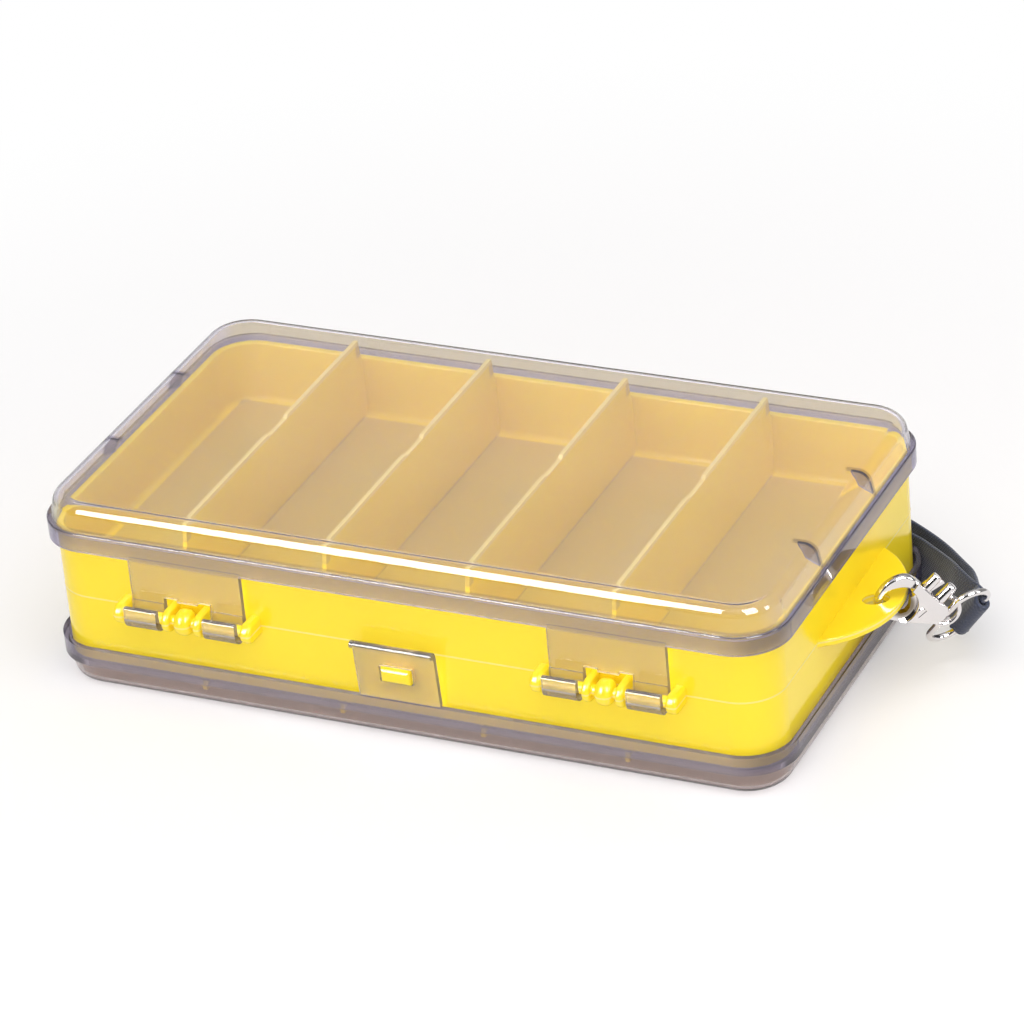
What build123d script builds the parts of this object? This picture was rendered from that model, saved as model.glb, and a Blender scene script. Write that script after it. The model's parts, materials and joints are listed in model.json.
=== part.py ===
from build123d import *
import math
import os

# A double-sided tackle box: one moulded tray with compartments above and below its floor, a clear
# lid on each side, and a wrist strap on a small snap hook.
# Millimetres. +X runs along the box, -Y is its front, +Z is up. The origin is the middle of the
# lower lid's flat outside, which is what the box stands on.

# Box over the lids
box_length = 200.0
box_depth = 110.0
box_height = 52.6
corner_radius = 13.2

# Lids
lid_wall = 1.4
dome_rise = 6.8
ledge_width = 1.1
dome_draw = 1.5
dome_shoulder = 3.5
skirt_height = 5.2
skirt_gap = 0.8
rim_gap = 0.1
ledge_round = 0.4
fin_pitch = 36.3
fin_reach = 3.8
fin_root = 0.6
fin_thickness = 0.9
fin_drop = 5.2

# Tray
tray_wall = 2.0
tray_floor = 2.4
floor_fillet = 1.2
rim_round = 0.4
parting_height = 0.35
parting_reach = 0.05

# Dividers
divider_count = 4
divider_pitch = 38.6
divider_thickness = 1.1
divider_headroom = 1.0
divider_step = 0.8
divider_slant = 0.9
notch_length = 11.0
notch_depth = 0.8
notch_shift = 2.0

# Hinges
hinge_spacing = 114.0
hinge_reach = 3.9
rod_radius = 1.5
rod_fit = 0.06
hook_wall = 1.7
hook_length = 9.0
hook_lip = 3.2
tab_width = 31.0
tab_recess = 0.2
tab_gap = 0.55
tab_slot = 4.7
ear_width = 3.0
ear_gap = 0.7
ear_radius = 2.7
ear_round = 1.0
disc_width = 2.0
disc_offset = 4.4
disc_radius = 3.1
disc_round = 0.75
barrel_length = 4.6
barrel_radius = 3.4
barrel_round = 2.0
barrel_gap = 0.5
wall_sink = 0.5
tongue_width = 5.6

# Latches
latch_width = 22.0
latch_thickness = 1.4
latch_rise = 16.9
latch_lean = 5.0
latch_root_gap = 0.1
latch_curl = 1.7
latch_flare = 3.4
lip_radius = 0.9
catch_width = 8.0
catch_height = 4.0
catch_reach = 3.8
catch_round = 1.2
catch_slack = 0.35
catch_play = 0.5
catch_level = 4.3
window_room = 0.25

# Strap lug on the right end
lug_thickness = 2.0
lug_lift = -0.4
lug_offset = 2.0
lug_chord = 47.0
lug_reach = 12.9
lug_hole_from_rim = 6.3
lug_hole_across = -0.8
lug_hole_length = 7.0
lug_hole_width = 5.2
lug_round = 0.4

# Snap hook
clasp_turn = 36.87
clasp_thickness = 4.2
clasp_round = 0.3
hook_thickness = 2.4
hook_round = 0.8
hook_out = 0.4
hook_across = -0.2
clasp_tip_drop = 1.0
lever_thickness = 1.9
lever_slot = 2.3
lever_pin_radius = 0.9
lever_pin_fit = 0.05
pin_head_radius = 1.35
pin_head_height = 0.3
stud_radius = 1.35
stud_length = 4.1
stud_turn = 49.0
thumb_length = 4.6
thumb_width = 1.1
thumb_thickness = 2.0
thumb_turn = 25.0
post_radius = 1.45
post_length = 6.4
eye_radius = 3.9
eye_wire = 0.65
spring_radius = 1.5
spring_height = 0.6
spring_room = 0.2

# Ring and strap
ring_length = 22.0
ring_width = 9.4
ring_wire = 0.85
strap_width = 14.0
strap_thickness = 1.1
fold_gap = 0.2
fold_width = 13.0
fold_leg = 1.5
stitch_height = 0.25
stitch_width = 0.6
stitch_margin = 1.5
stitch_pitch = 1.6
stitch_rows = 5

# Worked out from the sizes above
half_length = box_length / 2
half_depth = box_depth / 2
mid_height = box_height / 2
ledge_top = box_height - dome_rise
skirt_low = ledge_top - skirt_height
rim_height = ledge_top - lid_wall - rim_gap
tray_inset = lid_wall + skirt_gap
wall_face_x = half_length - tray_inset
wall_face_y = half_depth - tray_inset
inner_x = wall_face_x - tray_wall
inner_y = wall_face_y - tray_wall
floor_top = mid_height + tray_floor / 2
hinge_axis_y = wall_face_y + hinge_reach
hook_bore = rod_radius + rod_fit
hook_outer = hook_bore + hook_wall
hole_x = wall_face_x + lug_reach - lug_hole_from_rim
hole_y = lug_offset + lug_hole_across


def block(low, high):
    """A box between two corners."""
    size = [b - a for a, b in zip(low, high)]
    middle = [(a + b) / 2 for a, b in zip(low, high)]
    return Pos(*middle) * Box(*size)


def rounded_slab(inset, low, high):
    """A slab with the box's own outline, drawn in by an inset."""
    outline = RectangleRounded(
        box_length - 2 * inset, box_depth - 2 * inset, corner_radius - inset
    )
    return extrude(Pos(0, 0, low) * outline, high - low)


def dome_inset(height):
    """How far the dome's outside lies in from the box's outline at a height."""
    return ledge_width + (height - ledge_top) * dome_draw / dome_rise


def dome_slab(low, high, wall, shoulder):
    """A slab with the dome's leaning walls, drawn in by a wall and rounded at its top edge."""
    inset = dome_inset(low) + wall
    outline = RectangleRounded(
        box_length - 2 * inset, box_depth - 2 * inset, corner_radius - inset
    )
    lean = math.degrees(math.atan2(dome_draw, dome_rise))
    slab = extrude(Pos(0, 0, low) * outline, high - low, taper=lean)
    return fillet(level_edges(slab, high), shoulder)


def along_x(points, x_low, x_high):
    """A profile given as depth and height, run along the box from one x to another."""
    outline = Plane.YZ * make_face(Polyline(*points, close=True))
    return Pos(x_low, 0, 0) * extrude(outline, x_high - x_low)


def rod_x(radius, depth, height, x_low, x_high):
    """A round bar along the box."""
    place = Pos((x_low + x_high) / 2, depth, height) * Rot(0, 90, 0)
    return place * Cylinder(radius, x_high - x_low)


def turned_over(shape):
    """The same shape on the other side of the box, turned half a turn about its long axis."""
    return Pos(0, 0, mid_height) * Rot(180, 0, 0) * Pos(0, 0, -mid_height) * shape


def level_edges(shape, height):
    """The edges that lie flat at one height."""
    found = shape.edges().filter_by_position(Axis.Z, height - 0.01, height + 0.01)
    return found


# Tray


def rounded_ear(radius, width, rounding, middle):
    """A plate square to the hinge rod, half round in front, that runs back into the wall."""
    axis_y = -hinge_axis_y
    depth = hinge_reach + wall_sink
    profile = Pos(axis_y, mid_height) * Circle(radius)
    profile += Pos(axis_y + depth / 2, mid_height) * Rectangle(depth, 2 * radius)
    plate = Pos(middle - width / 2, 0, 0) * extrude(Plane.YZ * profile, width)
    rims = plate.edges().filter_by_position(Axis.Y, axis_y - 2 * radius, axis_y + depth - 0.1)
    rims = [edge for edge in rims if abs(abs(edge.center().X - middle) - width / 2) < 0.01]
    return fillet(rims, rounding)


def hinge_mount(x):
    """The moulded rod, its end ears, the two discs and the barrel of one hinge at the front."""
    ear_low = tab_width / 2 + ear_gap
    ear_middle = ear_low + ear_width / 2
    mount = rod_x(rod_radius, -hinge_axis_y, mid_height, x - ear_middle, x + ear_middle)
    for side in (-1, 1):
        mount += rounded_ear(ear_radius, ear_width, ear_round, x + side * ear_middle)
        mount += rounded_ear(disc_radius, disc_width, disc_round, x + side * disc_offset)
    ends = (x - barrel_length / 2, x + barrel_length / 2)
    barrel = rod_x(barrel_radius, -hinge_axis_y, mid_height, *ends)
    barrel = fillet(barrel.edges().filter_by(GeomType.CIRCLE), barrel_round)
    return mount + barrel


def catch():
    """The rounded catch on the front wall that the lower lid's latch holds on: flat on top."""
    top = mid_height - catch_level
    nub = block(
        (-catch_width / 2, -wall_face_y - catch_reach, top - catch_height),
        (catch_width / 2, -wall_face_y + wall_sink, top),
    )
    return fillet(nub.faces().sort_by(Axis.Y)[0].edges(), catch_round)


def strap_lug():
    """The flat ear on the right end with the hole that the snap hook goes through."""
    half_chord = lug_chord / 2
    radius = (half_chord**2 + lug_reach**2) / (2 * lug_reach)
    low = mid_height + lug_lift - lug_thickness / 2
    outline = Circle(radius) & Pos(radius, 0) * Rectangle(
        2 * lug_reach + 1.0, 2 * half_chord, align=(Align.CENTER, Align.CENTER)
    )
    centre_x = wall_face_x + lug_reach - radius
    plate = extrude(Pos(centre_x, lug_offset, low) * outline, lug_thickness)
    plate = plate - block(
        (0, -half_depth, 0), (wall_face_x - tray_wall / 2, half_depth, box_height)
    )
    hole = Rot(0, 0, clasp_turn) * Ellipse(lug_hole_length / 2, lug_hole_width / 2)
    plate = plate - extrude(Pos(hole_x, hole_y, low - 1) * hole, lug_thickness + 2)
    rim = plate.edges().filter_by(GeomType.CIRCLE).group_by(SortBy.LENGTH)[-1]
    return fillet(rim, lug_round)


def make_tray():
    """One moulding: walls, floor at mid-height, hinge rods, catches and the strap lug."""
    low_rim = box_height - rim_height
    tray = rounded_slab(tray_inset, low_rim, rim_height)
    pocket = rounded_slab(tray_inset + tray_wall, floor_top, rim_height + 1)
    pocket = fillet(level_edges(pocket, floor_top), floor_fillet)
    tray = tray - pocket - turned_over(pocket)
    rims = level_edges(tray, rim_height) + level_edges(tray, low_rim)
    tray = fillet(rims, rim_round)
    line = rounded_slab(
        tray_inset - parting_reach, mid_height - parting_height / 2, mid_height + parting_height / 2
    )
    line = line - rounded_slab(tray_inset + tray_wall / 2, 0, box_height)
    tray = tray + line
    for side in (-1, 1):
        mount = hinge_mount(side * hinge_spacing / 2)
        tray = tray + mount + turned_over(mount)
    front_catch = catch()
    return tray + front_catch + turned_over(front_catch) + strap_lug()


def make_divider(x):
    """One wall across an upper compartment row, cut back at its top corners and dipped inside."""
    top = box_height - lid_wall - divider_headroom
    outline = [
        (-inner_y, floor_top),
        (inner_y, floor_top),
        (inner_y, rim_height - rim_round),
        (inner_y - divider_step, rim_height),
        (inner_y - divider_step - divider_slant, top),
        (notch_shift + notch_length / 2, top),
        (notch_shift + notch_length / 2 - notch_depth, top - notch_depth),
        (notch_shift - notch_length / 2 + notch_depth, top - notch_depth),
        (notch_shift - notch_length / 2, top),
        (-inner_y + divider_step + divider_slant, top),
        (-inner_y + divider_step, rim_height),
        (-inner_y, rim_height - rim_round),
    ]
    return along_x(outline, x - divider_thickness / 2, x + divider_thickness / 2)


# Lids


def hinge_tab(x):
    """The plate and the two open hooks that hang the upper lid on one hinge rod."""
    axis_y = -hinge_axis_y
    back = -wall_face_y - tab_gap
    front = -half_depth + tab_recess
    hook_back = axis_y + hook_outer
    inner_end = tab_width / 2 - hook_length
    slot_inner = tongue_width / 2
    top = skirt_low + 0.5
    plate_low = mid_height + tab_slot
    tab = block((x - tab_width / 2, front, plate_low), (x + tab_width / 2, back, top))
    tongue_low = mid_height + barrel_radius + barrel_gap
    tab += block((x - slot_inner, front, tongue_low), (x + slot_inner, back, plate_low))
    for side in (-1, 1):
        near, far = sorted((x + side * inner_end, x + side * tab_width / 2))
        leaf = block((near, front, mid_height), (far, back, plate_low))
        curl = rod_x(hook_outer, axis_y, mid_height, near, far)
        jaw = block(
            (near, axis_y - hook_outer, mid_height), (far, hook_back, mid_height + hook_lip)
        )
        bore = rod_x(hook_bore, axis_y, mid_height, near - 1, far + 1)
        mouth = block(
            (near - 1, axis_y - hook_bore, mid_height),
            (far + 1, axis_y + hook_bore, mid_height + 2 * hook_lip),
        )
        hook = curl + jaw - bore - mouth
        lip = hook.edges().filter_by(Axis.X).group_by(Axis.Z)[-1].sort_by(Axis.Y)[:2]
        hook = fillet(lip, 0.55)
        tab += leaf - mouth + hook
    return tab


def end_fins(side, dome):
    """The two thin stiffeners inside one end of the upper lid's dome."""
    top = box_height - lid_wall
    wall = half_length - dome_inset(top) - lid_wall
    root = half_length - dome_inset(top - fin_drop) - lid_wall + fin_root
    outline = Plane.XZ * make_face(
        Polyline(
            (side * root, top + fin_root),
            (side * (wall - fin_reach), top + fin_root),
            (side * (wall - fin_reach * 0.55), top - fin_drop * 0.7),
            (side * root, top - fin_drop),
            close=True,
        )
    )
    fins = None
    for across in (-1, 1):
        y = across * fin_pitch / 2
        fin = Pos(0, y + fin_thickness / 2, 0) * extrude(outline, fin_thickness) & dome
        fins = fin if fins is None else fins + fin
    return fins


def make_top_lid():
    """A domed lid with a ledge and a skirt; it hangs on the front hinges and latches behind."""
    skirt = rounded_slab(0, skirt_low, ledge_top)
    skirt = fillet(level_edges(skirt, ledge_top), ledge_round)
    dome = dome_slab(ledge_top - lid_wall, box_height, 0, dome_shoulder)
    skirt_room = rounded_slab(lid_wall, skirt_low - 1, ledge_top - lid_wall)
    dome_room = dome_slab(
        ledge_top - lid_wall, box_height - lid_wall, lid_wall, dome_shoulder - lid_wall
    )
    lid = skirt + dome - (skirt_room + dome_room)
    for side in (-1, 1):
        lid = lid + end_fins(side, dome)
        lid = lid + hinge_tab(side * hinge_spacing / 2)
    return lid


# Latches


latch_half = latch_thickness / 2
latch_root_z = box_height - skirt_low + latch_half + latch_root_gap
latch_root_y = -half_depth + latch_half


def make_bottom_latch():
    """The sprung tab at the front: a leaning plate with a window, flared out to a rolled lip."""
    slope = math.tan(math.radians(latch_lean))
    lip_z = latch_root_z + latch_rise - latch_half - lip_radius
    bend_z = lip_z - latch_flare
    bend_y = latch_root_y - slope * (bend_z - latch_root_z)
    lip_y = bend_y - latch_curl
    back_bend = (bend_y + latch_half, bend_z)
    front_bend = (bend_y - latch_half, bend_z)
    outline = [
        Line((latch_root_y - latch_half, latch_root_z), (latch_root_y + latch_half, latch_root_z)),
        Line((latch_root_y + latch_half, latch_root_z), back_bend),
        Bezier(back_bend, (back_bend[0], lip_z + lip_radius), (lip_y, lip_z + lip_radius)),
        Line((lip_y, lip_z + lip_radius), (lip_y, lip_z - lip_radius)),
        Bezier((lip_y, lip_z - lip_radius), (front_bend[0], lip_z - lip_radius), front_bend),
        Line(front_bend, (latch_root_y - latch_half, latch_root_z)),
    ]
    ends = (-latch_width / 2, latch_width / 2)
    plate = Pos(ends[0], 0, 0) * extrude(Plane.YZ * make_face(outline), latch_width)
    root = rod_x(latch_half, latch_root_y, latch_root_z, *ends)
    lip = rod_x(lip_radius, lip_y, lip_z, *ends)
    window_side = catch_width / 2 + catch_play
    catch_top = mid_height - catch_level
    window = block(
        (-window_side, bend_y - 3, catch_top - catch_height - window_room),
        (window_side, latch_root_y + 3, catch_top + catch_slack),
    )
    return plate + root + lip - window


# Snap hook

clasp_x = hole_x + hook_out
clasp_y = hole_y + hook_across
lug_top = mid_height + lug_lift + lug_thickness / 2
lug_low = lug_top - lug_thickness
turn = math.radians(clasp_turn)
clasp_plane = Plane(
    origin=(clasp_x, clasp_y, lug_top),
    x_dir=(math.cos(turn), math.sin(turn), 0),
    z_dir=(math.sin(turn), -math.cos(turn), 0),
)
# In that plane: across from the lug's hole, and up from the lug's top face.
pin_at = (10.6, -5.1)
eye_at = (16.8, -6.6)
eye_start = 14.6
hook_tip_low = -lug_thickness - clasp_tip_drop


def clasp_solid(outline, thickness, rounding=0):
    """A flat shape in the snap hook's own plane, half its thickness each side."""
    solid = extrude(clasp_plane * outline, thickness / 2, both=True)
    if rounding:
        rims = [
            edge
            for edge in solid.edges()
            if abs(abs(clasp_plane.to_local_coords(edge.center()).Z) - thickness / 2) < 0.01
        ]
        solid = fillet(rims, rounding)
    return solid


def clasp_bar(root, turned, radius, length, rounding):
    """A round bar in the snap hook's plane, leaning from straight up by some degrees."""
    bar = Pos(0, 0, length / 2) * Cylinder(radius, length)
    bar = fillet(bar.edges().group_by(Axis.Z)[-1], rounding)
    return clasp_plane * Pos(*root, 0) * Rot(0, 0, -turned) * Rot(-90, 0, 0) * bar


def make_clasp_body():
    """The round hook, the forked housing behind it, the fixed post and the eye at its tail."""
    outer = [(-0.7, hook_tip_low), (-0.8, 0.2), (0.3, 2.4), (2.2, 4.3), (4.7, 5.5), (6.9, 5.7)]
    outer += [(8.7, 5.0), (10.1, 3.5)]
    throat = [(8.7, 1.3), (7.6, 2.0), (5.8, 2.4), (3.6, 2.1), (1.9, 1.2), (1.2, -0.4)]
    throat += [(1.3, hook_tip_low)]
    hook_line = [
        Spline(*outer),
        Line(outer[-1], (11.0, 2.2)),
        Line((11.0, 2.2), throat[0]),
        Spline(*throat),
        Line(throat[-1], outer[0]),
    ]
    hook = clasp_solid(make_face(hook_line), hook_thickness, hook_round)
    right = [(15.9, -3.7), (17.4, -6.0), (15.6, -8.5), (13.9, -9.0)]
    mouth = [(5.2, -6.6), (7.4, -6.2), (8.9, -4.8), (9.8, -2.6), (9.5, -0.2), (8.4, 1.5)]
    housing_line = [
        Line(outer[-1], right[0]),
        Spline(*right),
        Line(right[-1], mouth[0]),
        Spline(*mouth),
        Line(mouth[-1], outer[-1]),
    ]
    housing = clasp_solid(make_face(housing_line), clasp_thickness, clasp_round)
    slot_line = Polyline(
        (2.0, -11.5),
        (13.0, -11.5),
        (13.9, -5.6),
        (19.5, -2.6),
        (14.0, 4.2),
        (9.2, 0.2),
        close=True,
    )
    slot = clasp_solid(make_face(slot_line), lever_slot)
    tail_room = clasp_plane * Pos(eye_start + 5, eye_at[1], -5 + lever_slot / 2) * Box(10, 20, 10)
    post = clasp_bar((14.7, -4.2), stud_turn, post_radius, post_length, post_radius * 0.6)
    eye = clasp_plane * Pos(*eye_at, 0) * Torus(eye_radius, eye_wire)
    before_eye = clasp_plane * Pos(eye_start - 5.3, eye_at[1], 0) * Box(10, 12, 6)
    body = hook + housing - slot - tail_room + post + (eye - before_eye)
    pin_hole = clasp_plane * Pos(*pin_at, 0)
    return body - pin_hole * Cylinder(lever_pin_radius, clasp_thickness + 2)


def make_clasp_pin():
    """The slotted rivet that the lever turns on."""
    place = clasp_plane * Pos(*pin_at, 0)
    half = clasp_thickness / 2
    pin = place * Cylinder(lever_pin_radius, clasp_thickness)
    for side in (-1, 1):
        head = place * Pos(0, 0, side * (half + pin_head_height / 2))
        pin += head * Cylinder(pin_head_radius, pin_head_height)
    groove = place * Pos(0, 0, half + pin_head_height) * Rot(0, 0, 35)
    return pin - groove * Box(2 * pin_head_radius, 0.4, pin_head_height)


def make_clasp_lever():
    """The thumb lever: a gate that closes the hook below the lug, its hub, stud and thumb tab."""
    gate_line = Polyline(
        (1.6, hook_tip_low + 0.1),
        (3.0, hook_tip_low - 0.4),
        (5.4, -4.7),
        (7.0, -4.5),
        (7.9, -3.4),
        (8.2, -2.0),
        (8.3, -0.6),
        (9.0, -0.5),
        (12.7, 2.4),
        (13.9, 1.1),
        (13.3, -1.0),
        (12.4, -5.1),
        (11.6, -6.8),
        (9.8, -7.1),
        (5.2, -6.9),
        (2.4, -5.6),
        (1.3, -4.0),
        close=True,
    )
    plate = clasp_solid(make_face(gate_line), lever_thickness)
    stud = clasp_bar((12.6, 0.75), stud_turn, stud_radius, stud_length, 0.3)
    thumb = clasp_plane * Pos(12.6, 0.2, 0) * Rot(0, 0, thumb_turn)
    thumb = thumb * Pos(thumb_length / 2, 0, 0) * Box(thumb_length, thumb_width, thumb_thickness)
    hub = clasp_plane * Pos(*pin_at, 0)
    bore = hub * Cylinder(lever_pin_radius + lever_pin_fit, 10)
    recess_depth = spring_height + spring_room
    recess = hub * Pos(0, 0, lever_thickness / 2 - recess_depth / 2 + 0.5)
    recess = recess * Cylinder(spring_radius + spring_room, recess_depth + 1.0)
    return plate + stud + thumb - bore - recess


def make_clasp_spring():
    """The wound spring round the rivet, in a recess of the lever, that presses the gate shut."""
    middle = lever_thickness / 2 - spring_height / 2
    place = clasp_plane * Pos(*pin_at, middle)
    return place * Cylinder(spring_radius, spring_height) - place * Cylinder(
        lever_pin_radius + spring_room / 2, spring_height + 1
    )


# Ring and strap

ring_long = Vector(0.576, -0.168, 0.8).normalized()
ring_side = Vector(0.51, 0.825, -0.244)
ring_side = (ring_side - ring_long * ring_side.dot(ring_long)).normalized()
half_ring_width = ring_width / 2
in_eye = clasp_plane.from_local_coords(Vector(17.8, -7.8, -0.4))
ring_centre = in_eye + ring_side * half_ring_width - ring_long * 2.4
ring_plane = Plane(origin=ring_centre, x_dir=ring_long, z_dir=ring_long.cross(ring_side))


def make_ring():
    """The oval wire ring between the snap hook's eye and the strap's fold."""
    straight = (ring_length - ring_width) / 2
    loop = [
        Line((-straight, half_ring_width), (straight, half_ring_width)),
        ThreePointArc(
            (straight, half_ring_width), (straight + half_ring_width, 0), (straight, -half_ring_width)
        ),
        Line((straight, -half_ring_width), (-straight, -half_ring_width)),
        ThreePointArc(
            (-straight, -half_ring_width),
            (-straight - half_ring_width, 0),
            (-straight, half_ring_width),
        ),
    ]
    path = ring_plane * Wire(loop)
    start = path @ 0
    section = Plane(origin=start, z_dir=path % 0) * Circle(ring_wire)
    return sweep(section, path=path)


fold_centre = ring_centre + ring_side * half_ring_width - ring_long * 1.2
fold_inner = ring_wire + fold_gap
fold_middle = fold_inner + strap_thickness / 2
leave = Vector(-0.447, 0.776, 0.435)
leave = (leave - ring_long * leave.dot(ring_long)).normalized()
fold_out = ring_long.cross(leave).normalized()
upright = Vector(0, 0, 1)


def band_face(centre, run, across, width):
    """The strap's cross-section, square to its run."""
    place = Plane(origin=centre, x_dir=across, z_dir=run)
    return place * Rectangle(width, strap_thickness)


# The strap's middle line, laid on edge: out along the far strand, round its end and back along
# the box's rear wall. Each entry is x, y, height of the middle, and the lean of the strap's top
# away from the box's corner in degrees.
strap_route = [
    (117.4, 30.2, 12.4, 26),
    (111.4, 40.6, 9.5, 12),
    (104.8, 49.8, 7.9, 4),
    (97.2, 56.6, 7.3, 0),
    (87.6, 62.6, 7.3, 0),
    (74.0, 69.4, 7.3, 0),
    (57.0, 76.4, 7.3, 0),
    (39.0, 82.2, 7.3, 0),
    (21.0, 86.8, 7.3, 0),
    (5.0, 89.6, 7.3, 0),
    (-9.0, 90.2, 7.3, 0),
    (-19.0, 87.0, 7.3, 0),
    (-24.6, 80.2, 7.3, 0),
    (-25.0, 71.8, 7.3, 0),
    (-20.4, 64.8, 7.3, 0),
    (-11.0, 60.4, 7.3, 0),
    (4.0, 58.8, 7.3, 0),
    (20.0, 58.8, 7.3, 0),
    (34.0, 58.8, 7.3, 0),
    (48.0, 58.8, 7.3, 0),
    (62.0, 58.8, 7.3, 0),
    (75.0, 58.6, 7.3, 0),
    (86.6, 57.2, 7.3, 0),
    (96.0, 53.0, 7.4, 0),
    (102.4, 46.5, 8.6, 3),
    (108.8, 38.8, 10.6, 10),
    (114.8, 29.6, 13.2, 22),
]
seam_x = 41.0
seam_y = 58.8
seam_z = 7.3


def make_strap():
    """The webbing loop: a tight fold round the ring's bar, and two strands that run behind."""
    first = fold_centre + fold_out * fold_middle + leave * fold_leg
    last = fold_centre - fold_out * fold_middle + leave * fold_leg
    places = [first] + [Vector(x, y, z) for x, y, z, lean in strap_route] + [last]
    leans = [0.0] + [lean for x, y, z, lean in strap_route] + [0.0]
    count = len(places)
    faces = []
    for i, (place, lean) in enumerate(zip(places, leans)):
        if i == 0:
            run, across, width = leave, ring_long, fold_width
        elif i == count - 1:
            run, across, width = leave * -1, ring_long, fold_width
        else:
            run = (places[i + 1] - places[i - 1]).normalized()
            run = Vector(run.X, run.Y, 0).normalized()
            outward = Vector(1, -0.2, 0) * math.sin(math.radians(lean))
            across = upright * math.cos(math.radians(lean)) + outward
            across = (across - run * across.dot(run)).normalized()
            width = strap_width
        faces.append(band_face(place, run, across, width))
    band = loft(faces, ruled=True)
    ends = Plane(origin=fold_centre, x_dir=leave, z_dir=ring_long)
    tube = Circle(fold_inner + strap_thickness) - Circle(fold_inner)
    keep = Pos(-fold_middle * 2, 0) * Rectangle(fold_middle * 4, fold_middle * 4)
    fold = extrude(ends * (tube & keep), fold_width / 2, both=True)
    legs = None
    for side in (-1, 1):
        middle = fold_centre + fold_out * side * fold_middle + leave * fold_leg / 2
        leg = Plane(origin=middle, x_dir=leave, z_dir=ring_long) * Box(
            fold_leg, strap_thickness, fold_width
        )
        legs = leg if legs is None else legs + leg
    return band + fold + legs


def make_stitching():
    """The rows of thread that close the webbing into a loop, on both faces of one stretch."""
    row = Box(stitch_width, stitch_height, strap_width - 2 * stitch_margin)
    rows = []
    for side in (-1, 1):
        y = seam_y + side * (strap_thickness / 2 + stitch_height / 2)
        for number in range(stitch_rows):
            x = seam_x + (number - (stitch_rows - 1) / 2) * stitch_pitch
            rows.append(Pos(x, y, seam_z) * row)
    return Compound(children=rows)


# Build and write every piece

tray = make_tray()
top_lid = make_top_lid()
bottom_latch = make_bottom_latch()
nodes = {
    "tray": tray,
    "top_lid": top_lid,
    "bottom_lid": turned_over(top_lid),
    "bottom_latch": bottom_latch,
    "top_latch": turned_over(bottom_latch),
    "clasp_body": make_clasp_body(),
    "clasp_lever": make_clasp_lever(),
    "clasp_pin": make_clasp_pin(),
    "clasp_spring": make_clasp_spring(),
    "strap_ring": make_ring(),
    "strap": make_strap(),
    "strap_stitching": make_stitching(),
}
for number in range(divider_count):
    divider_x = (number - (divider_count - 1) / 2) * divider_pitch
    divider = make_divider(divider_x)
    nodes[f"divider_top_{number + 1}"] = divider
    nodes[f"divider_bottom_{number + 1}"] = turned_over(divider)

os.makedirs("parts", exist_ok=True)
for name, shape in nodes.items():
    export_step(shape, f"parts/{name}.step")
print("hinge axis", -hinge_axis_y, mid_height, "latch root", latch_root_y, latch_root_z)
print("ring", tuple(ring_centre), "in eye", tuple(in_eye), "snap hook", clasp_x, clasp_y, lug_top)
pin_place = clasp_plane.from_local_coords(Vector(*pin_at, 0))
print("rivet", tuple(pin_place), "its axis", tuple(clasp_plane.z_dir))
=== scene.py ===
"""Finishes, wrist strap and studio for a double-sided tackle box, built round its fixed model."""

import json
import math

import bmesh
import bpy
from bpy.props import FloatProperty, FloatVectorProperty, IntProperty, PointerProperty
from mathutils import Matrix, Vector

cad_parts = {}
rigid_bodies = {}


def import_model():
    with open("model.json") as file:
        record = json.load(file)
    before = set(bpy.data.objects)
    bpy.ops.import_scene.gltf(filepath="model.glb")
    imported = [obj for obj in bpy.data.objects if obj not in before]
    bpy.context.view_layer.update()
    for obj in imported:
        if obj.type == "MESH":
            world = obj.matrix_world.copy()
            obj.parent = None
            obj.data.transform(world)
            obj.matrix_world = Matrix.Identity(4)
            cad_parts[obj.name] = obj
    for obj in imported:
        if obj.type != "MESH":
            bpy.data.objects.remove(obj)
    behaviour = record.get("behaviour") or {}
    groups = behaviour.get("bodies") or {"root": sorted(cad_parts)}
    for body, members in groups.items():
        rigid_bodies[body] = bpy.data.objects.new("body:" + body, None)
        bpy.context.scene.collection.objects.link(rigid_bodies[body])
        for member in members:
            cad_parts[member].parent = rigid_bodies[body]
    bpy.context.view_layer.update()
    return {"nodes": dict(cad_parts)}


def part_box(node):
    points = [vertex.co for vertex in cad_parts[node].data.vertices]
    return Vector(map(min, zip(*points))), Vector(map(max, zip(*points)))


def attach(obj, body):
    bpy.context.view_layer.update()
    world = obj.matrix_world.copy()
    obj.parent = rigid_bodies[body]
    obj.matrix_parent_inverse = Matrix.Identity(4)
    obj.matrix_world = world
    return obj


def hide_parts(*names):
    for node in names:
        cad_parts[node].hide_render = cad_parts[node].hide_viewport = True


bl_info = {
    "name": "Double-sided tackle box",
    "version": (1, 0, 0),
    "blender": (4, 5, 0),
    "location": "3D View > Sidebar > Tackle Box",
    "description": "Dresses the tackle box in its finishes and sets the studio round it",
    "category": "Object",
}

MM = 0.001

for leftover in list(bpy.data.objects):
    bpy.data.objects.remove(leftover)
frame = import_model()

YELLOW_NODES = [name for name in frame["nodes"] if name == "tray" or name.startswith("divider")]
CLEAR_NODES = ["top_lid", "bottom_lid", "top_latch", "bottom_latch"]
BRIGHT_NODES = ["clasp_body", "clasp_lever", "clasp_pin", "strap_ring"]


def middle_of(node):
    """The middle of a node's box."""
    low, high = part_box(node)
    return (low + high) / 2


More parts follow.
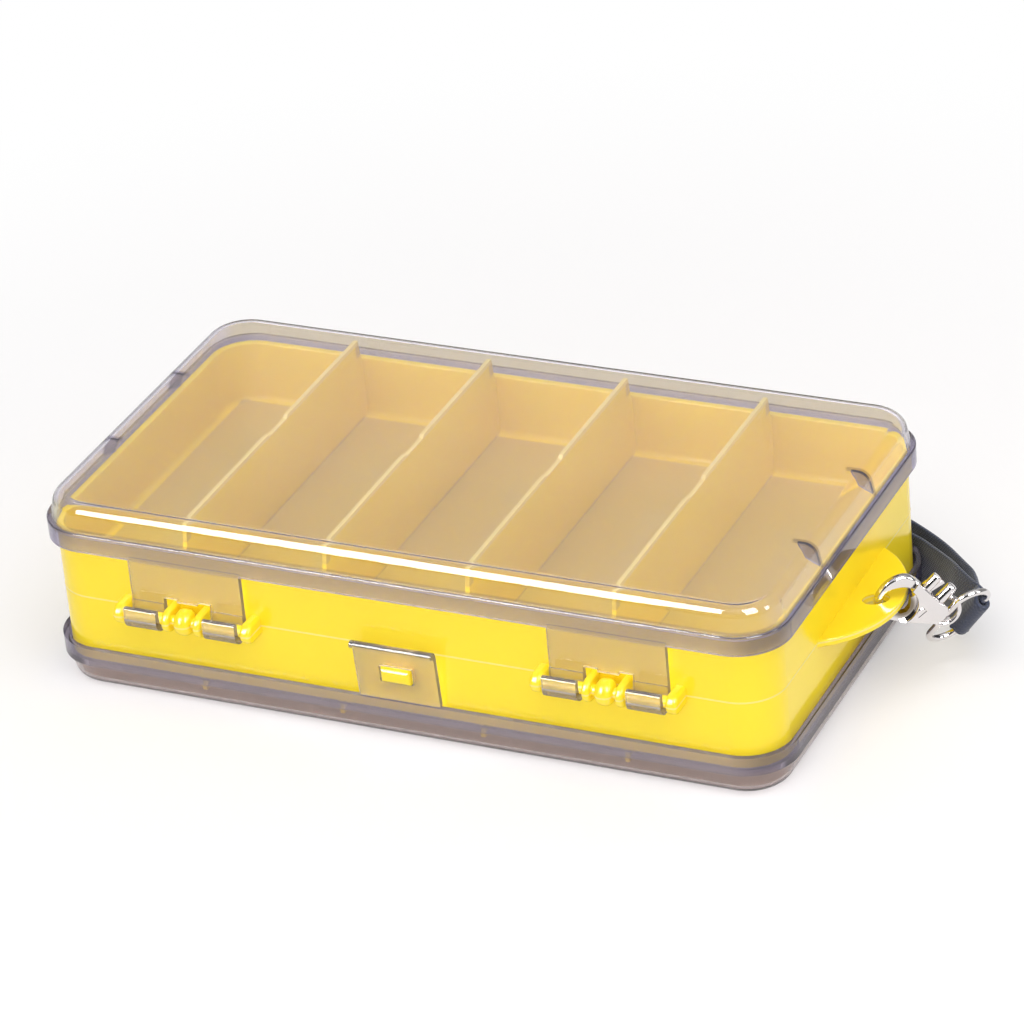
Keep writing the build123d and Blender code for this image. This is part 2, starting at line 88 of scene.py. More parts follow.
# Landmarks of the box. It is the same on both sides of its middle height, so a level is a height
# counted from there, up or down. A length or depth is counted from the middle of the box.
MIDDLE_HEIGHT = middle_of("tray").z
HALF_LENGTH, HALF_DEPTH, LID_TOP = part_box("top_lid")[1]
TOP_LEVEL = LID_TOP - MIDDLE_HEIGHT
DOME_RISE = 6.8 * MM
LEDGE_LEVEL = TOP_LEVEL - DOME_RISE
RIM_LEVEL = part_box("tray")[1].z - MIDDLE_HEIGHT
TAB_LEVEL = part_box("top_latch")[1].z - MIDDLE_HEIGHT
FLOOR_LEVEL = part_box("divider_top_1")[0].z - MIDDLE_HEIGHT
DIVIDER_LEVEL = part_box("divider_top_1")[1].z - MIDDLE_HEIGHT
INNER_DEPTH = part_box("divider_top_1")[1].y
INNER_LENGTH = HALF_LENGTH - HALF_DEPTH + INNER_DEPTH
WALL_MARGIN = 2.05 * MM
PARTING_HALF_HEIGHT = 0.22 * MM
FIN_PITCH = 36.3 * MM
FIN_THICKNESS = 0.9 * MM

# The inside of the snap hook's throat.
THROAT_MIDDLE = middle_of("clasp_body") + Vector((-3.1, -2.2, 0.2)) * MM
THROAT_RADIUS = 3.4 * MM

# The strap's middle line, on edge behind the box: x, y, z in metres, and the lean of its top edge
# away from the box's corner in degrees.
STRAP_ROUTE = [
    (0.1174, 0.0302, 0.0124, 26),
    (0.1114, 0.0406, 0.0095, 12),
    (0.1048, 0.0498, 0.0079, 4),
    (0.0972, 0.0566, 0.0073, 0),
    (0.0876, 0.0626, 0.0073, 0),
    (0.0740, 0.0694, 0.0073, 0),
    (0.0570, 0.0764, 0.0073, 0),
    (0.0390, 0.0822, 0.0073, 0),
    (0.0210, 0.0868, 0.0073, 0),
    (0.0050, 0.0896, 0.0073, 0),
    (-0.0090, 0.0902, 0.0073, 0),
    (-0.0190, 0.0870, 0.0073, 0),
    (-0.0246, 0.0802, 0.0073, 0),
    (-0.0250, 0.0718, 0.0073, 0),
    (-0.0204, 0.0648, 0.0073, 0),
    (-0.0110, 0.0604, 0.0073, 0),
    (0.0040, 0.0588, 0.0073, 0),
    (0.0200, 0.0588, 0.0073, 0),
    (0.0340, 0.0588, 0.0073, 0),
    (0.0480, 0.0588, 0.0073, 0),
    (0.0620, 0.0588, 0.0073, 0),
    (0.0750, 0.0586, 0.0073, 0),
    (0.0866, 0.0572, 0.0073, 0),
    (0.0960, 0.0530, 0.0074, 0),
    (0.1024, 0.0465, 0.0086, 3),
    (0.1088, 0.0388, 0.0106, 10),
    (0.1148, 0.0296, 0.0132, 22),
]

# The ring and the strap's fold round it. The ring has a long way, and its side is the way from its
# middle to the fold, which has slipped a little along it. The strap leaves the ring by a short leg.
RING_WIDTH = 9.4 * MM
RING_WIRE_RADIUS = 0.85 * MM
FOLD_GAP = 0.2 * MM
FOLD_LEG = 1.5 * MM
FOLD_SLIP = 1.2 * MM
RING_LONG = Vector((0.576, -0.168, 0.8)).normalized()
RING_SIDE = Vector((0.51, 0.825, -0.244))
RING_SIDE = (RING_SIDE - RING_LONG * RING_SIDE.dot(RING_LONG)).normalized()
STRAP_LEAVES = Vector((-0.447, 0.776, 0.435))
STRAP_LEAVES = (STRAP_LEAVES - RING_LONG * STRAP_LEAVES.dot(RING_LONG)).normalized()


# Settings


class TackleBoxColours(bpy.types.PropertyGroup):
    """The colours of the finishes, with painted shade, highlights and light among them."""

    yellow: FloatVectorProperty(
        name="Yellow plastic",
        description="Colour of the tray and its dividers",
        subtype="COLOR",
        default=(0.96, 0.725, 0.02),
        min=0,
        max=1,
    )
    # Painted shade: a duller, darker yellow for the compartment floors and the dividers' ends over
    # the rim.
    compartment_floor: FloatVectorProperty(
        name="Compartment floor",
        description="Duller colour of the floors of the compartments",
        subtype="COLOR",
        default=(0.68, 0.515, 0.09),
        min=0,
        max=1,
    )
    # Painted highlight: a paler yellow for the dividers' top edges and the parting line.
    divider_edge: FloatVectorProperty(
        name="Divider edge",
        description="Paler colour of the dividers' thin edges",
        subtype="COLOR",
        default=(0.90, 0.74, 0.20),
        min=0,
        max=1,
    )
    smoke: FloatVectorProperty(
        name="Smoke tint",
        description="Colour that the clear lids and latches let through",
        subtype="COLOR",
        default=(0.90, 0.86, 0.87),
        min=0,
        max=1,
    )
    smoke_depth: FloatVectorProperty(
        name="Smoke in thick places",
        description="Colour that deepens with the thickness of the clear plastic",
        subtype="COLOR",
        default=(0.53, 0.52, 0.60),
        min=0,
        max=1,
    )
    smoke_side: FloatVectorProperty(
        name="Smoke in the dome's sides",
        description="Colour that the steep sides of the domes let through",
        subtype="COLOR",
        default=(0.99, 0.96, 0.96),
        min=0,
        max=1,
    )
    smoke_milk: FloatVectorProperty(
        name="Haze in the skirts",
        description="Colour of the light that the skirts scatter",
        subtype="COLOR",
        default=(0.55, 0.50, 0.60),
        min=0,
        max=1,
    )
    # Painted light: a yellow tint in the dome's long sides that stands in for the tray's yellow
    # light through them.
    smoke_glow: FloatVectorProperty(
        name="Glow in the dome's long sides",
        description="Colour of the long sides, which pick up the tray's yellow",
        subtype="COLOR",
        default=(0.99, 0.92, 0.55),
        min=0,
        max=1,
    )
    # Painted shade: a darker tint for the skirts, hinge tabs, latches and end fins, darker still
    # towards the ends.
    smoke_skirt: FloatVectorProperty(
        name="Smoke in the skirts",
        description="Colour that the lids' skirts, hinge tabs and latches let through",
        subtype="COLOR",
        default=(0.46, 0.42, 0.55),
        min=0,
        max=1,
    )
    # Painted shade: a darker, warmer tint for the lower lid's foot.
    smoke_foot: FloatVectorProperty(
        name="Smoke in the foot",
        description="Colour that the lower lid's foot lets through",
        subtype="COLOR",
        default=(0.72, 0.62, 0.56),
        min=0,
        max=1,
    )
    bright_metal: FloatVectorProperty(
        name="Bright metal",
        description="Colour of the plated hook, lever, rivet and ring",
        subtype="COLOR",
        default=(0.80, 0.77, 0.77),
        min=0,
        max=1,
    )
    # Painted shade: darker metal inside the snap hook's throat.
    hook_throat: FloatVectorProperty(
        name="Hook's throat",
        description="Darker metal inside the snap hook's throat",
        subtype="COLOR",
        default=(0.22, 0.18, 0.13),
        min=0,
        max=1,
    )
    spring_steel: FloatVectorProperty(
        name="Spring steel",
        description="Colour of the small spring under the lever",
        subtype="COLOR",
        default=(0.42, 0.42, 0.43),
        min=0,
        max=1,
    )
    webbing: FloatVectorProperty(
        name="Webbing",
        description="Colour of the wrist strap",
        subtype="COLOR",
        default=(0.017, 0.025, 0.060),
        min=0,
        max=1,
    )
    thread: FloatVectorProperty(
        name="Thread",
        description="Colour of the strap's stitching",
        subtype="COLOR",
        default=(0.06, 0.07, 0.11),
        min=0,
        max=1,
    )


class TackleBoxStrap(bpy.types.PropertyGroup):
    """The sizes of the wrist strap."""

    width: FloatProperty(
        name="Width", description="Width of the webbing", default=0.014, unit="LENGTH"
    )
    fold_width: FloatProperty(
        name="Width in the ring",
        description="Width of the webbing where it is folded round the ring",
        default=0.013,
        unit="LENGTH",
    )
    thickness: FloatProperty(
        name="Thickness", description="Thickness of the webbing", default=0.0011, unit="LENGTH"
    )
    yarn: FloatProperty(
        name="Yarn", description="Width of one lengthwise yarn", default=0.0006, unit="LENGTH"
    )
    stitch: FloatProperty(
        name="Stitch",
        description="Least length of a stitch, so that a whole number of them fills the seam",
        default=0.0018,
        unit="LENGTH",
    )
    thread: FloatProperty(
        name="Thread", description="Width of the sewing thread", default=0.00045, unit="LENGTH"
    )
    thread_rise: FloatProperty(
        name="Thread rise",
        description="How thick the pulled thread lies on the webbing",
        default=0.00032,
        unit="LENGTH",
    )
    stitch_rows: IntProperty(
        name="Stitch rows", description="Rows of thread across the seam", default=5, min=1
    )


class TackleBoxStudio(bpy.types.PropertyGroup):
    """The camera, the room that shiny pieces reflect, and the floor."""

    azimuth: FloatProperty(
        name="Azimuth",
        description="Turn of the camera round the box from straight in front",
        default=math.radians(26.70),
        unit="ROTATION",
    )
    elevation: FloatProperty(
        name="Elevation",
        description="Height of the camera above the horizon",
        default=math.radians(29.57),
        unit="ROTATION",
    )
    roll: FloatProperty(
        name="Roll",
        description="Tilt of the camera about its line of sight",
        default=math.radians(-5.33),
        unit="ROTATION",
    )
    distance: FloatProperty(
        name="Distance", description="Camera to aim", default=1.2556, unit="LENGTH"
    )
    aim: FloatVectorProperty(
        name="Aim",
        description="Point at the middle of the picture",
        subtype="TRANSLATION",
        default=(0.00465, 0.00641, 0.03270),
    )
    lens: FloatProperty(
        name="Lens", description="Focal length", default=174.5, unit="CAMERA"
    )
    ambient: FloatProperty(
        name="Ambient", description="Strength of the light from all round", default=0.62
    )
    ceiling: FloatProperty(
        name="Ceiling",
        description="Brightness of the ceiling that shiny pieces reflect",
        default=0.65,
    )
    back_wall: FloatProperty(
        name="Back wall",
        description="Extra brightness of the wall behind the box that shiny pieces reflect",
        default=0.26,
    )
    dark_room: FloatProperty(
        name="Dark room",
        description="Least brightness of the room that shiny pieces reflect",
        default=0.05,
    )
    floor_colour: FloatVectorProperty(
        name="Floor",
        description="Colour of the floor where it takes the box's shadow",
        subtype="COLOR",
        default=(0.95, 0.93, 0.93),
        min=0,
        max=1,
    )


SETTINGS = {
    "tackle_box_colours": TackleBoxColours,
    "tackle_box_strap": TackleBoxStrap,
    "tackle_box_studio": TackleBoxStudio,
}


# Materials


class Wire:
    """A value in a material, so that its maths reads as plain arithmetic."""

    def __init__(self, recipe, socket):
        self.recipe = recipe
        self.socket = socket

    def maths(self, operation, *values):
        return self.recipe.maths(operation, *values)

    def __add__(self, other):
        return self.maths("ADD", self, other)

    def __radd__(self, other):
        return self.maths("ADD", other, self)

    def __sub__(self, other):
        return self.maths("SUBTRACT", self, other)

    def __rsub__(self, other):
        return self.maths("SUBTRACT", other, self)

    def __mul__(self, other):
        return self.maths("MULTIPLY", self, other)

    def __rmul__(self, other):
        return self.maths("MULTIPLY", other, self)

    def __truediv__(self, other):
        return self.maths("DIVIDE", self, other)

    def __pow__(self, other):
        return self.maths("POWER", self, other)

    def __mod__(self, other):
        return self.maths("FLOORED_MODULO", self, other)

    def __abs__(self):
        return self.maths("ABSOLUTE", self)


class Recipe:
    """The nodes of one finish, or of the world."""

    def __init__(self, tree):
        self.tree = tree
        tree.nodes.clear()

    def node(self, kind, settings=(), values=(), give=0):
        """Adds a node: its settings first, then the values or wires of its sockets."""
        made = self.tree.nodes.new(kind)
        for name, value in dict(settings).items():
            setattr(made, name, value)
        for name, value in dict(values).items():
            if isinstance(value, Wire):
                self.tree.links.new(value.socket, made.inputs[name])
            else:
                made.inputs[name].default_value = value
        return Wire(self, made.outputs[give])

    def maths(self, operation, *values):
        return self.node("ShaderNodeMath", {"operation": operation}, dict(enumerate(values)))

    def sine(self, value):
        return self.maths("SINE", value)

    def floor(self, value):
        return self.maths("FLOOR", value)

    def between(self, value, start, end):
        """0 before start, 1 after end and smooth in between."""
        return self.node(
            "ShaderNodeMapRange",
            {"interpolation_type": "SMOOTHSTEP"},
            {"Value": value, "From Min": start, "From Max": end},
        )

    def above(self, value, edge, blend):
        """0 under an edge and 1 over it, smooth across the width of the blend."""
        return self.between(value, edge - blend / 2, edge + blend / 2)

    def below(self, value, edge, blend):
        """1 under an edge and 0 over it, smooth across the width of the blend."""
        return self.between(value, edge + blend / 2, edge - blend / 2)

    def mix(self, factor, first, second):
        """A colour between two others."""
        settings = {"data_type": "RGBA", "clamp_factor": True}
        return self.node("ShaderNodeMix", settings, {0: factor, 6: first, 7: second}, give=2)

    def place(self, scale=(1, 1, 1)):
        """A point of the piece in metres, stretched by a scale."""
        point = self.node("ShaderNodeTexCoord", give="Object")
        return self.node("ShaderNodeMapping", values={"Vector": point, "Scale": scale})

    def axes(self, vector):
        """A vector's three numbers."""
        split = self.node("ShaderNodeSeparateXYZ", values={0: vector})
        sockets = split.socket.node.outputs
        return [Wire(self, socket) for socket in sockets]

    def noise(self, vector, scale, detail=2.0, roughness=0.5):
        """Smooth noise from 0 to 1, with so many features to a metre."""
        values = {"Vector": vector, "Scale": scale, "Detail": detail, "Roughness": roughness}
        return self.node("ShaderNodeTexNoise", values=values)

    def bump(self, height, distance):
        """A surface raised by a height from 0 to 1, times a distance in metres."""
        values = {"Height": height, "Distance": distance, "Strength": 1.0}
        return self.node("ShaderNodeBump", values=values)

    def shader(self, values):
        """The Principled shader, which every finish on the box and the strap has."""
        return self.node("ShaderNodeBsdfPrincipled", values=values)

    def output(self, surface, volume=None):
        values = {"Surface": surface}
        if volume is not None:
            values["Volume"] = volume
        kind = "ShaderNodeOutputWorld" if self.tree.type == "WORLD" else "ShaderNodeOutputMaterial"
        made = self.tree.nodes.new(kind)
        for name, wire in values.items():
            self.tree.links.new(wire.socket, made.inputs[name])


def new_finish(name):
    """An empty material and its recipe."""
    material = bpy.data.materials.new(name)
    material.use_nodes = True
    return material, Recipe(material.node_tree)


def opaque(colour):
    """A colour property with full alpha."""
    return (*colour, 1.0)


def shade(colour, share):
    """A colour times a share: darker under 1 and lighter over it."""
    return (*[channel * share for channel in colour], 1.0)


def dress(names, material):
    """Gives nodes of the model a finish."""
    for name in names:
        slots = frame["nodes"][name].data.materials
        slots.clear()
        slots.append(material)


def yellow_plastic(colours):
    """Glossy moulded plastic: a little uneven in tone, with painted shade on the floors and divider
    ends, and painted highlights on the dividers' top edges and the parting line.
    """
    material, recipe = new_finish("yellow_plastic")
    point = recipe.place()
    cloud = recipe.noise(point, 22, detail=3)
    waves = recipe.noise(recipe.place((1, 1, 2.5)), 70, detail=1)
    grain = recipe.noise(point, 2600, detail=2)
    tone = recipe.between(cloud, 0.35, 0.65)
    colour = recipe.mix(tone, shade(colours.yellow, 0.965), opaque(colours.yellow))
    x, y, z = recipe.axes(point)
    level = abs(z - MIDDLE_HEIGHT)
    in_length = recipe.below(abs(x), INNER_LENGTH - WALL_MARGIN, blend=0.5 * MM)
    in_depth = recipe.below(abs(y), INNER_DEPTH - WALL_MARGIN, blend=0.5 * MM)
    indoors = in_length * in_depth
    # Painted shade: the compartment floors and the dividers' ends over the rim take a duller,
    # darker yellow.
    floor_edge = FLOOR_LEVEL + 0.5 * MM
    floor = indoors * recipe.below(level, floor_edge, blend=0.6 * MM)
    colour = recipe.mix(floor, colour, opaque(colours.compartment_floor))
    end_low = RIM_LEVEL + 1.2 * MM
    end_start = INNER_DEPTH - 3.4 * MM
    over_rim = recipe.above(level, end_low, blend=0.4 * MM)
    divider_end_shade = over_rim * recipe.above(abs(y), end_start, blend=0.8 * MM)
    colour = recipe.mix(divider_end_shade, colour, opaque(colours.compartment_floor))
    # Painted highlight: the dividers' top edges and the parting line take a paler yellow.
    edge_low = DIVIDER_LEVEL - 1.05 * MM
    divider_edge = recipe.above(level, edge_low, blend=0.3 * MM)
    parting_line_highlight = (1 - indoors) * recipe.below(level, PARTING_HALF_HEIGHT, blend=0.08 * MM)
    pale = recipe.maths("MAXIMUM", divider_edge, parting_line_highlight)
    colour = recipe.mix(pale, colour, opaque(colours.divider_edge))
    surface = recipe.shader(
        {
            "Base Color": colour,
            "Roughness": cloud * 0.05 + grain * 0.03 + 0.12,
            "IOR": 1.49,
            "Subsurface Weight": 0.12,
            "Subsurface Radius": (1.0, 0.6, 0.15),
            "Subsurface Scale": 2.0 * MM,
            "Normal": recipe.bump(waves * 0.9 + grain * 0.1, 0.02 * MM),
        }
    )
    recipe.output(surface)
    return material


def smoke_tint_and_painted_light(recipe, colours, point, skirt_shade_and_haze, end):
    """The smoke's tint: clear on top, with painted shade in skirts, tabs, fins and the foot, and
    painted yellow light in the long sides.
    """
    x, y, z = recipe.axes(point)
    level = abs(z - MIDDLE_HEIGHT)
    # Painted shade: the lower lid's foot takes a darker, warmer tint.
    foot_top = DOME_RISE + 0.1 * MM
    foot = recipe.below(z, foot_top, blend=1.0 * MM)
    fin_face = FIN_THICKNESS / 2 + 0.15 * MM
    fin_start = HALF_LENGTH - 8.5 * MM
    across_fin = recipe.below(abs(abs(y) - FIN_PITCH / 2), fin_face, blend=0.2 * MM)
    fin = across_fin * recipe.above(abs(x), fin_start, blend=1.0 * MM)
    side_top = TOP_LEVEL - 1.7 * MM
    side = recipe.below(level, side_top, blend=0.6 * MM) * 0.8
    # Painted light: the long sides take a yellow tint from the tray; 'thin' below carries it.
    long_side_start = HALF_DEPTH - 7.0 * MM
    long_side = recipe.above(abs(y), long_side_start, blend=4.0 * MM)
    side_tint_and_painted_yellow = recipe.mix(long_side, opaque(colours.smoke_side), opaque(colours.smoke_glow))
    thin = recipe.mix(side, opaque(colours.smoke), side_tint_and_painted_yellow)
    # Painted shade: skirts, tabs, latches and fins take a darker tint, darker still towards the
    # ends; 'tint' below carries it.
    skirt_shade_tint = recipe.mix(end, opaque(colours.smoke_skirt), shade(colours.smoke_skirt, 0.82))
    tint = recipe.mix(recipe.maths("MAXIMUM", skirt_shade_and_haze, fin), thin, skirt_shade_tint)
    return recipe.mix(foot, tint, opaque(colours.smoke_foot))


def smoke_clear(colours):
    """Polished clear plastic with a smoke tint and painted shade, hazy in its skirts and darker
    where it is thick.
    """
    material, recipe = new_finish("smoke_clear")
    point = recipe.place()
    cloud = recipe.noise(point, 30, detail=2)
    waves = recipe.noise(recipe.place((1, 1, 1.6)), 38, detail=1)
    x, _, z = recipe.axes(point)
    level = abs(z - MIDDLE_HEIGHT)
    tab_top = TAB_LEVEL - 0.3 * MM
    tab = recipe.below(level, tab_top, blend=0.6 * MM)
    end_middle = HALF_LENGTH - 10.0 * MM
    end = recipe.above(abs(x), end_middle, blend=12.0 * MM)
    skirt_top = LEDGE_LEVEL + 0.05 * MM
    under_ledge = recipe.below(level, skirt_top, blend=0.7 * MM)
    # How much painted shade the skirts take: more towards the ends, less lower down on the tabs and
    # latches. The same weight sets the skirts' haze.
    skirt_shade_and_haze = under_ledge * (0.78 + end * 0.22 - tab * 0.38)
    polished = recipe.shader(
        {
            "Base Color": smoke_tint_and_painted_light(recipe, colours, point, skirt_shade_and_haze, end),
            "Roughness": cloud * 0.03 + 0.02,
            "IOR": 1.5,
            "Transmission Weight": 0.95,
            "Normal": recipe.bump(waves, 0.006 * MM),
        }
    )
    milk = recipe.node("ShaderNodeBsdfDiffuse", values={"Color": opaque(colours.smoke_milk)})
    haze = skirt_shade_and_haze * (0.15 - end * 0.1)
    clouded = recipe.node("ShaderNodeMixShader", values={0: haze, 1: polished, 2: milk})
    passed = recipe.node("ShaderNodeBsdfTransparent", values={"Color": (1.0, 1.0, 1.0, 1.0)})
    lamp_ray = recipe.node("ShaderNodeLightPath", give="Is Shadow Ray")
    shown = recipe.node("ShaderNodeMixShader", values={0: lamp_ray, 1: clouded, 2: passed})
    depth = {"Color": opaque(colours.smoke_depth), "Density": 240.0}
    recipe.output(shown, recipe.node("ShaderNodeVolumeAbsorption", values=depth))
    return material


def bright_metal(colours):
    """Bright plating over cast metal, with a faint orange-peel wave and painted shade in the
    throat.
    """
    material, recipe = new_finish("bright_metal")
    point = recipe.place()
    peel = recipe.noise(point, 900, detail=2)
    wear = recipe.noise(point, 160, detail=4, roughness=0.6)
    plating = recipe.mix(wear, shade(colours.bright_metal, 0.9), opaque(colours.bright_metal))
    # Painted shade: darker metal inside the throat.
    pair = {0: point, 1: THROAT_MIDDLE}
    away = recipe.node("ShaderNodeVectorMath", {"operation": "DISTANCE"}, pair, give="Value")
    throat = recipe.below(away, THROAT_RADIUS, blend=1.6 * MM)
    surface = recipe.shader(
        {
            "Base Color": recipe.mix(throat, plating, opaque(colours.hook_throat)),
            "Metallic": 1.0,
            "Roughness": wear * 0.1 + 0.05,
            "Normal": recipe.bump(peel, 0.006 * MM),
        }
    )
    recipe.output(surface)
    return material


def spring_wire(colours):
    """Drawn steel, a little dull."""
    material, recipe = new_finish("spring_wire")
    lines = recipe.noise(recipe.place((1, 1, 8)), 700, detail=2)
    surface = recipe.shader(
        {
            "Base Color": opaque(colours.spring_steel),
            "Metallic": 1.0,
            "Roughness": lines * 0.15 + 0.25,
            "Normal": recipe.bump(lines, 0.02 * MM),
        }
    )
    recipe.output(surface)
    return material


def webbing(colours, strap):
    """Woven tape: yarns along it that pass over and under, read from its own map in metres."""
    material, recipe = new_finish("webbing")
    along = recipe.node("ShaderNodeUVMap", {"uv_map": "tape"})
    across, run, _ = recipe.axes(along)
    yarn_number = recipe.floor(across / strap.yarn)
    round_yarn = abs(recipe.sine(across * (math.pi / strap.yarn)))
    phase = (yarn_number % 2.0) * math.pi
    over = recipe.sine(run * (math.pi / strap.yarn) + phase) * 0.5 + 0.5
    fuzz = recipe.noise(along, 5200, detail=3, roughness=0.7)
    height = round_yarn * (over * 0.55 + 0.45) + fuzz * 0.25
    patches = recipe.noise(along, 120, detail=3)
    light = recipe.mix(patches, shade(colours.webbing, 1.3), shade(colours.webbing, 1.9))
    # Painted shade: darker down between the yarns and lighter on their tops, over patches of random
    # tone.
    colour = recipe.mix(height * 0.8, shade(colours.webbing, 0.6), light)
    surface = recipe.shader(
        {
            "Base Color": colour,
            "Roughness": 0.78 - over * 0.12,
            "Sheen Weight": 0.35,
            "Sheen Roughness": 0.4,
            "Normal": recipe.bump(height, 0.16 * MM),
        }
    )
    recipe.output(surface)
    return material


def thread(colours):
    """Twisted sewing thread."""
    material, recipe = new_finish("thread")
    twist = recipe.noise(recipe.place((1, 1, 0.3)), 5000, detail=2)
    colour = recipe.mix(twist, shade(colours.thread, 0.6), shade(colours.thread, 1.6))
    surface = recipe.shader(
        {
            "Base Color": colour,
            "Roughness": 0.6,
            "Sheen Weight": 0.2,
            "Normal": recipe.bump(twist, 0.05 * MM),
        }
    )
    recipe.output(surface)
    return material


# Meshes


def new_piece(name, bm, material, smooth=True):
    """Turns a bmesh into a piece in the scene."""
    mesh = bpy.data.meshes.new(name)
    bm.to_mesh(mesh)
    bm.free()
    mesh.materials.append(material)
    mesh.polygons.foreach_set("use_smooth", [smooth] * len(mesh.polygons))
    piece = bpy.data.objects.new(name, mesh)
    bpy.context.scene.collection.objects.link(piece)
    return piece


def smooth_line(points, steps):
    """Points read from a NURBS line that has the given points as its control points."""
    curve = bpy.data.curves.new("line", "CURVE")
    curve.dimensions = "3D"
    curve.resolution_u = steps
    spline = curve.splines.new("NURBS")
    spline.points.add(len(points) - 1)
    for control, point in zip(spline.points, points):
        control.co = (*point, 1.0)
    spline.order_u = 3
    spline.use_endpoint_u = True
    holder = bpy.data.objects.new("line", curve)
    mesh = bpy.data.meshes.new_from_object(holder)
    line = [vertex.co.copy() for vertex in mesh.vertices]
    bpy.data.meshes.remove(mesh)
    bpy.data.objects.remove(holder)
    bpy.data.curves.remove(curve)
    return line


def tape_section(width, thickness):
    """The rounded outline of the webbing, as pairs of how far across it and how far through it."""
    half = width / 2
    edge = thickness / 2
    outline = []
    side_steps = 10
    turn_steps = 4
    for end in (1, -1):
        for step in range(turn_steps + 1):
            angle = math.pi / 2 - math.pi * step / turn_steps
            outline.append(
                (end * (half - edge + edge * math.cos(angle)), end * edge * math.sin(angle))
            )
        for step in range(1, side_steps):
            share = 1 - 2 * step / side_steps
            outline.append((end * share * (half - edge), -end * edge))
    return outline


def strap_stations(strap):
    """The webbing's middle points with the way across it, all round the loop from its fold."""
    fold_radius = RING_WIRE_RADIUS + FOLD_GAP + strap.thickness / 2
    fold_middle = middle_of("strap_ring") + RING_SIDE * RING_WIDTH / 2 - RING_LONG * FOLD_SLIP
    fold_out = RING_LONG.cross(STRAP_LEAVES).normalized()
    leg = STRAP_LEAVES * FOLD_LEG
    first = fold_middle + fold_out * fold_radius + leg
    last = fold_middle - fold_out * fold_radius + leg
    middles = [first] + [Vector(entry[:3]) for entry in STRAP_ROUTE] + [last]
    upright = Vector((0, 0, 1))
    outward = Vector((1, -0.2, 0))
    tops = [first + RING_LONG * strap.fold_width / 2]
    for number, entry in enumerate(STRAP_ROUTE, 1):
        run = middles[number + 1] - middles[number - 1]
        run.z = 0
        run.normalize()
        lean = math.radians(entry[3])
        across = upright * math.cos(lean) + outward * math.sin(lean)
        across = (across - run * across.dot(run)).normalized()
        tops.append(middles[number] + across * strap.width / 2)
    tops.append(last + RING_LONG * strap.fold_width / 2)
    steps = 12
    line = smooth_line(middles, steps)
    edge = smooth_line(tops, steps)
    stations = []
    for point, top in zip(line, edge):
        across = top - point
        stations.append((point, across.normalized(), across.length * 2))
    bend = []
    bend_steps = 14
    for step in range(bend_steps):
        angle = math.pi * (step + 0.5) / bend_steps
        out = fold_out * math.cos(angle) - STRAP_LEAVES * math.sin(angle)
        bend.append((fold_middle + out * fold_radius, RING_LONG, strap.fold_width))
    half = bend_steps // 2
    return bend[:half][::-1] + stations + bend[half:][::-1]


def build_strap(strap, material):
    """The webbing as one closed band, with a map in metres across it and along it."""
    stations = strap_stations(strap)
    bm = bmesh.new()
    map_layer = bm.loops.layers.uv.new("tape")
    count = len(stations)
    rings = []
    travelled = 0.0
    marks = []
    for number, (point, across, width) in enumerate(stations):
        before = stations[number - 1][0]
        after = stations[(number + 1) % count][0]
        run = (after - before).normalized()
        across = (across - run * across.dot(run)).normalized()
        through = run.cross(across)
        if number:
            travelled += (point - before).length
        marks.append(travelled)
        rings.append(
            [
                bm.verts.new(point + across * side + through * depth)
                for side, depth in tape_section(width, strap.thickness)
            ]
        )
    marks.append(travelled + (stations[0][0] - stations[-1][0]).length)
    outline = tape_section(strap.width, strap.thickness)
    size = len(outline)
    for number in range(count):
        here = rings[number]
        there = rings[(number + 1) % count]
        for this in range(size):
            following = (this + 1) % size
            face = bm.faces.new((here[this], here[following], there[following], there[this]))
            corners = (
                (outline[this][0], marks[number]),
                (outline[following][0], marks[number]),
                (outline[following][0], marks[number + 1]),
                (outline[this][0], marks[number + 1]),
            )
            for loop, corner in zip(face.loops, corners):
                loop[map_layer].uv = corner
    bmesh.ops.recalc_face_normals(bm, faces=bm.faces)
    return new_piece("wrist_strap", bm, material), [station[0] for station in stations]


def build_seam_thread(strap, material):
    """The rows of slanting stitches on both faces of the strap's seam."""
    low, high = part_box("strap_stitching")
    middle = middle_of("strap_stitching")
    margin = 0.3 * MM
    lift = 0.1 * MM
    slant = math.radians(14)
    overlap = 1.02
    pitch = (high.x - low.x - 2 * margin) / (strap.stitch_rows - 1)
    count = int((high.z - low.z) // strap.stitch)
    step = (high.z - low.z) / count
    shape = Matrix.Diagonal((strap.thread, strap.thread_rise, step * overlap, 1))
    bm = bmesh.new()
    for side in (-1, 1):
        y = middle.y + side * (strap.thickness / 2 + lift)
        for row in range(strap.stitch_rows):
            x = low.x + margin + row * pitch
            for number in range(count):
                made = bmesh.ops.create_uvsphere(bm, u_segments=8, v_segments=6, radius=0.5)
                tilt = Matrix.Rotation(slant if number % 2 else -slant, 4, "Y")
                spot = Matrix.Translation((x, y, low.z + (number + 0.5) * step))
                bmesh.ops.transform(bm, matrix=spot @ tilt @ shape, verts=made["verts"])
    return new_piece("strap_seam_thread", bm, material)


# Operators


class TACKLEBOX_OT_yellow_moulding(bpy.types.Operator):
    """Finish the tray and its dividers"""

    bl_idname = "tackle_box.yellow_moulding"
    bl_label = "Yellow moulding"

    def execute(self, context):
        dress(YELLOW_NODES, yellow_plastic(context.scene.tackle_box_colours))
        return {"FINISHED"}


class TACKLEBOX_OT_clear_lids(bpy.types.Operator):
    """Finish the two lids and their latches"""

    bl_idname = "tackle_box.clear_lids"
    bl_label = "Clear lids"

    def execute(self, context):
        dress(CLEAR_NODES, smoke_clear(context.scene.tackle_box_colours))
        return {"FINISHED"}


